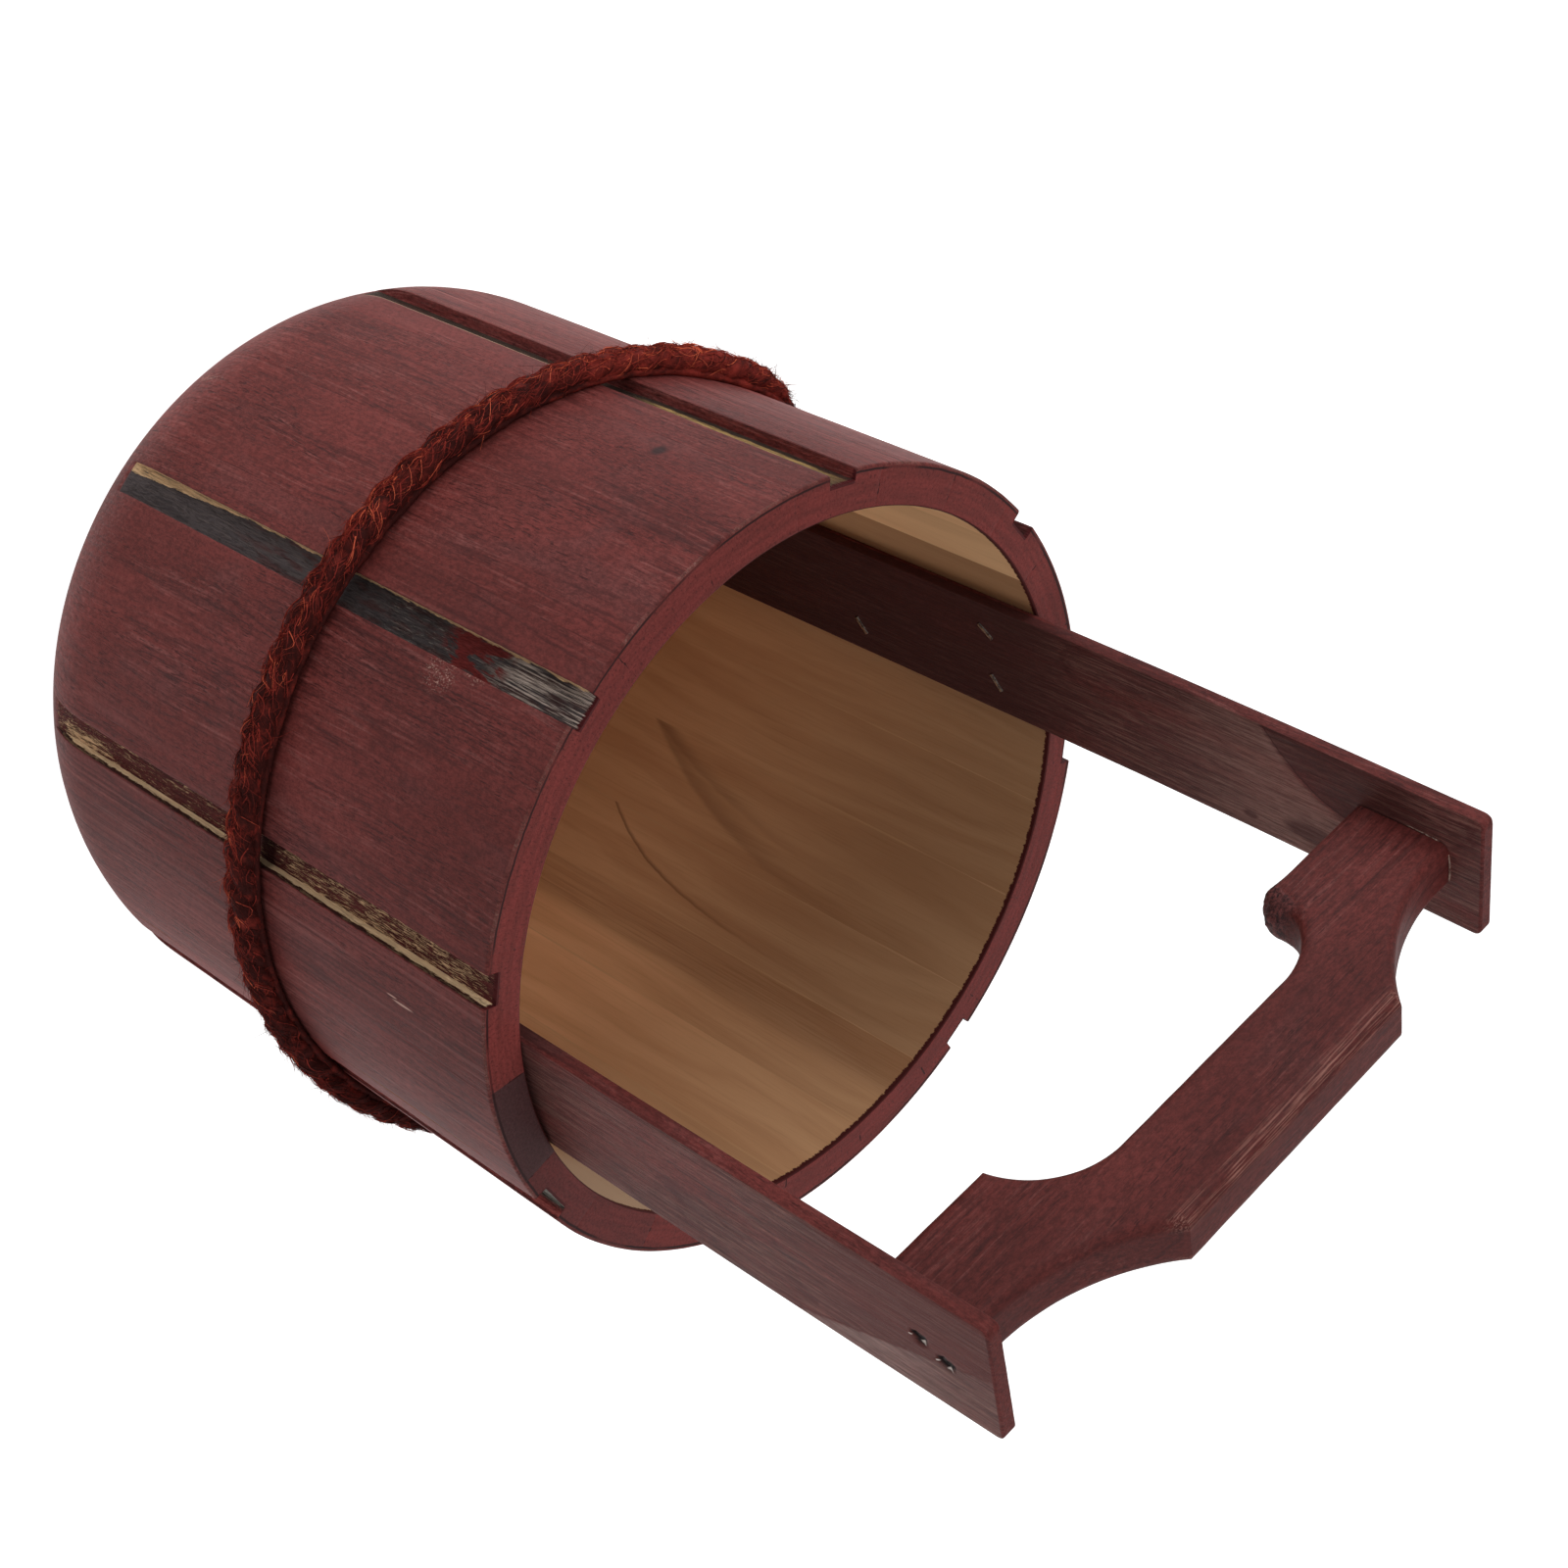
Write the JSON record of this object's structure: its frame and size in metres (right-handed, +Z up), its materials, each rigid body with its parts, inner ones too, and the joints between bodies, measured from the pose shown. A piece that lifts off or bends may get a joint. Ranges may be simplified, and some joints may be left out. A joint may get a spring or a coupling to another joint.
{
  "type": "wooden bucket",
  "caption": "Round staved wooden bucket with a plank bottom, a stapled rope hoop and a fixed sawn wooden grip between two flat uprights",
  "frame": {"origin": "centre of the base ring, on the surface that the bucket stands on", "axes": "+Z up out of the mouth, X along the grip from upright to upright, Y across the grip"},
  "size_m": [0.2441, 0.2444, 0.3578],
  "materials": {
    "painted_wood": "matt maroon stain outside and on the rim, bare wood inside",
    "bare_wood": "bare planed wood",
    "stained_board": "thin worn maroon stain over grey-brown wood",
    "painted_grip": "matt maroon stain, sanded edges",
    "dyed_rope": "plaited natural fibre, dyed dark red",
    "staple_wire": "zinc-plated wire",
    "dark_nail": "dull steel set below the stain"
  },
  "bodies": {
    "root": {"stave_01": "painted_wood", "stave_02": "painted_wood", "stave_03": "painted_wood", "stave_04": "painted_wood", "stave_05": "painted_wood", "stave_06": "painted_wood", "stave_07": "painted_wood", "stave_08": "painted_wood", "stave_09": "painted_wood", "stave_10": "painted_wood", "stave_11": "painted_wood", "stave_12": "painted_wood", "stave_13": "painted_wood", "stave_14": "painted_wood", "stave_15": "painted_wood", "stave_16": "painted_wood", "stave_17": "painted_wood", "stave_18": "painted_wood", "stave_19": "painted_wood", "stave_20": "painted_wood", "stave_21": "painted_wood", "stave_22": "painted_wood", "bottom_plank_01": "bare_wood", "bottom_plank_02": "bare_wood", "bottom_plank_03": "bare_wood", "bottom_plank_04": "bare_wood", "upright_right": "stained_board", "upright_left": "stained_board", "grip": "painted_grip", "rope_hoop": "dyed_rope", "rope_staples": "staple_wire", "upright_staples": "staple_wire", "grip_nails": "dark_nail"}
  },
  "joints": []
}
